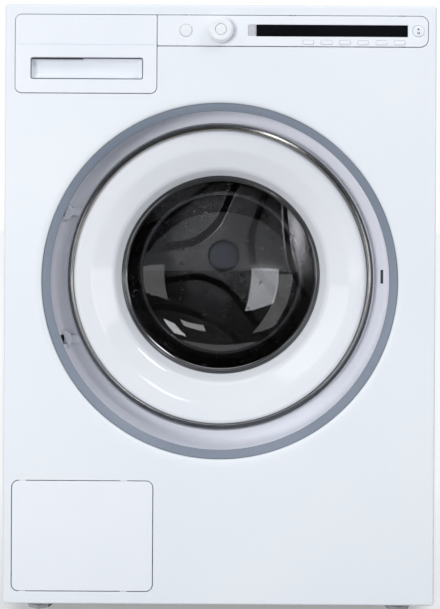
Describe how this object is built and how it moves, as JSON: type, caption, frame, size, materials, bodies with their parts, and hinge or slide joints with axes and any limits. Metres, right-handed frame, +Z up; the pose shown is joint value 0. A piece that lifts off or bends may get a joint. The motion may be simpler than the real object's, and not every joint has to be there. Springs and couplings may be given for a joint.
{
  "type": "front-loading washing machine",
  "caption": "Freestanding front-loading washing machine with a recessed round glass door, detergent drawer, control strip with programme knob, suspended tub and belt-driven drum.",
  "frame": {"origin": "centre of the floor area that the machine takes up, at the underside of the feet", "axes": "+Z up, -Y out of the front with the door, +X to the right as seen from the front"},
  "size_m": [0.595, 0.6026, 0.85],
  "materials": {
    "side_panel_left": "smooth white enamel",
    "side_panel_right": "smooth white enamel",
    "rear_panel": "zinc plated",
    "base_tray": "matt dark grey",
    "top_cover": "smooth white moulding",
    "front_panel": "smooth white enamel",
    "door_surround": "satin blue-grey",
    "mouth_ring": "satin pale grey",
    "control_panel": "smooth white moulding",
    "display_window": "glossy black",
    "control_board": "lacquered board",
    "drawer_housing": "matt white",
    "inlet_valve": "matt white",
    "pump_housing": "matt grey",
    "mains_gland": "matt dark grey",
    "door_lock": "matt dark grey",
    "hinge_bracket": "brushed",
    "damper_cylinder_left": "matt dark grey",
    "damper_cylinder_right": "matt dark grey",
    "door_gasket": "matt grey rubber",
    "spring_left": "brushed",
    "spring_right": "brushed",
    "door_frame": "glossy white",
    "door_trim_ring": "polished plating",
    "door_glass": "dark tinted",
    "door_back_ring": "matt white",
    "door_hook": "brushed",
    "hinge_leaf": "brushed",
    "selector_knob": "glossy white",
    "knob_cap": "glossy white",
    "power_button": "glossy white",
    "start_pause_button": "glossy white",
    "option_button_1": "smooth white moulding",
    "option_button_2": "smooth white moulding",
    "option_button_3": "smooth white moulding",
    "option_button_4": "smooth white moulding",
    "option_button_5": "smooth white moulding",
    "option_button_6": "smooth white moulding",
    "drawer_front": "smooth white moulding",
    "drawer_tray": "matt white",
    "service_flap": "smooth white moulding",
    "filter_cap": "matt dark grey",
    "tub_front": "matt grey",
    "tub_rear": "matt grey",
    "counterweight": "cast, painted grey",
    "heater": "brushed",
    "drum_bearing": "brushed",
    "motor_housing": "cast",
    "damper_rod_left": "brushed",
    "damper_rod_right": "brushed",
    "drive_belt": "matt grey rubber",
    "drum_shell": "polished, seen through dark glass",
    "drum_back": "polished, seen through dark glass",
    "drum_hub": "brushed",
    "drum_pulley": "cast",
    "motor_pulley": "brushed",
    "foot_front_left": "matt dark grey",
    "foot_front_right": "matt dark grey",
    "foot_rear_left": "matt dark grey",
    "foot_rear_right": "matt dark grey"
  },
  "bodies": {
    "casing": {"side_panel_left": "side_panel_left", "side_panel_right": "side_panel_right", "rear_panel": "rear_panel", "base_tray": "base_tray", "top_cover": "top_cover", "front_panel": "front_panel", "door_surround": "door_surround", "mouth_ring": "mouth_ring", "control_panel": "control_panel", "display_window": "display_window", "control_board": "control_board", "drawer_housing": "drawer_housing", "inlet_valve": "inlet_valve", "pump_housing": "pump_housing", "mains_gland": "mains_gland", "door_lock": "door_lock", "hinge_bracket": "hinge_bracket", "damper_cylinder_left": "damper_cylinder_left", "damper_cylinder_right": "damper_cylinder_right", "door_gasket": "door_gasket", "spring_left": "spring_left", "spring_right": "spring_right"},
    "door": {"door_frame": "door_frame", "door_trim_ring": "door_trim_ring", "door_glass": "door_glass", "door_back_ring": "door_back_ring", "door_hook": "door_hook", "hinge_leaf": "hinge_leaf"},
    "selector": {"selector_knob": "selector_knob"},
    "selector_cap": {"knob_cap": "knob_cap"},
    "power": {"power_button": "power_button"},
    "start_pause": {"start_pause_button": "start_pause_button"},
    "option_1": {"option_button_1": "option_button_1"},
    "option_2": {"option_button_2": "option_button_2"},
    "option_3": {"option_button_3": "option_button_3"},
    "option_4": {"option_button_4": "option_button_4"},
    "option_5": {"option_button_5": "option_button_5"},
    "option_6": {"option_button_6": "option_button_6"},
    "drawer": {"drawer_front": "drawer_front", "drawer_tray": "drawer_tray"},
    "flap": {"service_flap": "service_flap"},
    "filter": {"filter_cap": "filter_cap"},
    "tub": {"tub_front": "tub_front", "tub_rear": "tub_rear", "counterweight": "counterweight", "heater": "heater", "drum_bearing": "drum_bearing", "motor_housing": "motor_housing", "damper_rod_left": "damper_rod_left", "damper_rod_right": "damper_rod_right", "drive_belt": "drive_belt"},
    "drum": {"drum_shell": "drum_shell", "drum_back": "drum_back", "drum_hub": "drum_hub", "drum_pulley": "drum_pulley"},
    "motor_rotor": {"motor_pulley": "motor_pulley"},
    "foot_front_left": {"foot_front_left": "foot_front_left"},
    "foot_front_right": {"foot_front_right": "foot_front_right"},
    "foot_rear_left": {"foot_rear_left": "foot_rear_left"},
    "foot_rear_right": {"foot_rear_right": "foot_rear_right"}
  },
  "joints": [
    {"name": "door_hinge", "type": "hinge", "parent": "casing", "child": "door", "pos_m": [-0.2455, -0.25775, 0.469], "axis": [0, 0, -1], "range_deg": [0, 105]},
    {"name": "selector_turn", "type": "hinge", "parent": "casing", "child": "selector", "pos_m": [0, -0.28375, 0.8137], "axis": [0, -1, 0], "continuous": true},
    {"name": "selector_cap_press", "type": "slide", "parent": "selector", "child": "selector_cap", "axis": [0, 1, 0], "range_m": [0, 0.0012], "stiffness_N_per_m": 400, "springref_m": -0.0006},
    {"name": "power_press", "type": "slide", "parent": "casing", "child": "power", "axis": [0, 1, 0], "range_m": [0, 0.0015], "stiffness_N_per_m": 400, "springref_m": -0.0006},
    {"name": "start_pause_press", "type": "slide", "parent": "casing", "child": "start_pause", "axis": [0, 1, 0], "range_m": [0, 0.0015], "stiffness_N_per_m": 400, "springref_m": -0.0006},
    {"name": "option_1_press", "type": "slide", "parent": "casing", "child": "option_1", "axis": [0, 1, 0], "range_m": [0, 0.0015], "stiffness_N_per_m": 400, "springref_m": -0.0006},
    {"name": "option_2_press", "type": "slide", "parent": "casing", "child": "option_2", "axis": [0, 1, 0], "range_m": [0, 0.0015], "stiffness_N_per_m": 400, "springref_m": -0.0006},
    {"name": "option_3_press", "type": "slide", "parent": "casing", "child": "option_3", "axis": [0, 1, 0], "range_m": [0, 0.0015], "stiffness_N_per_m": 400, "springref_m": -0.0006},
    {"name": "option_4_press", "type": "slide", "parent": "casing", "child": "option_4", "axis": [0, 1, 0], "range_m": [0, 0.0015], "stiffness_N_per_m": 400, "springref_m": -0.0006},
    {"name": "option_5_press", "type": "slide", "parent": "casing", "child": "option_5", "axis": [0, 1, 0], "range_m": [0, 0.0015], "stiffness_N_per_m": 400, "springref_m": -0.0006},
    {"name": "option_6_press", "type": "slide", "parent": "casing", "child": "option_6", "axis": [0, 1, 0], "range_m": [0, 0.0015], "stiffness_N_per_m": 400, "springref_m": -0.0006},
    {"name": "drawer_slide", "type": "slide", "parent": "casing", "child": "drawer", "axis": [0, -1, 0], "range_m": [0, 0.22]},
    {"name": "flap_hinge", "type": "hinge", "parent": "casing", "child": "flap", "pos_m": [-0.2754, -0.28095, 0.1176], "axis": [0, 0, -1], "range_deg": [0, 95]},
    {"name": "filter_turn", "type": "hinge", "parent": "casing", "child": "filter", "pos_m": [-0.19, -0.26555, 0.112], "axis": [0, -1, 0], "range_deg": [0, 95]},
    {"name": "tub_bounce", "type": "slide", "parent": "casing", "child": "tub", "axis": [0, 0, 1], "range_m": [-0.008, 0.008], "stiffness_N_per_m": 16000, "springref_m": 0.0253, "deforming": ["spring_left", "spring_right", "door_gasket"]},
    {"name": "drum_spin", "type": "hinge", "parent": "tub", "child": "drum", "pos_m": [0, 0.12625, 0.469], "axis": [0, -1, 0], "continuous": true},
    {"name": "motor_spin", "type": "hinge", "parent": "tub", "child": "motor_rotor", "pos_m": [0.072, 0.18825, 0.135], "axis": [0, -1, 0], "continuous": true},
    {"name": "foot_front_left_turn", "type": "hinge", "parent": "casing", "child": "foot_front_left", "pos_m": [-0.255, -0.22875, 0], "axis": [0, 0, 1], "continuous": true},
    {"name": "foot_front_right_turn", "type": "hinge", "parent": "casing", "child": "foot_front_right", "pos_m": [0.255, -0.22875, 0], "axis": [0, 0, 1], "continuous": true},
    {"name": "foot_rear_left_turn", "type": "hinge", "parent": "casing", "child": "foot_rear_left", "pos_m": [-0.255, 0.23125, 0], "axis": [0, 0, 1], "continuous": true},
    {"name": "foot_rear_right_turn", "type": "hinge", "parent": "casing", "child": "foot_rear_right", "pos_m": [0.255, 0.23125, 0], "axis": [0, 0, 1], "continuous": true}
  ],
  "couplings": [
    {"joint": "motor_spin", "follows": "drum_spin", "ratio": 11.667}
  ]
}
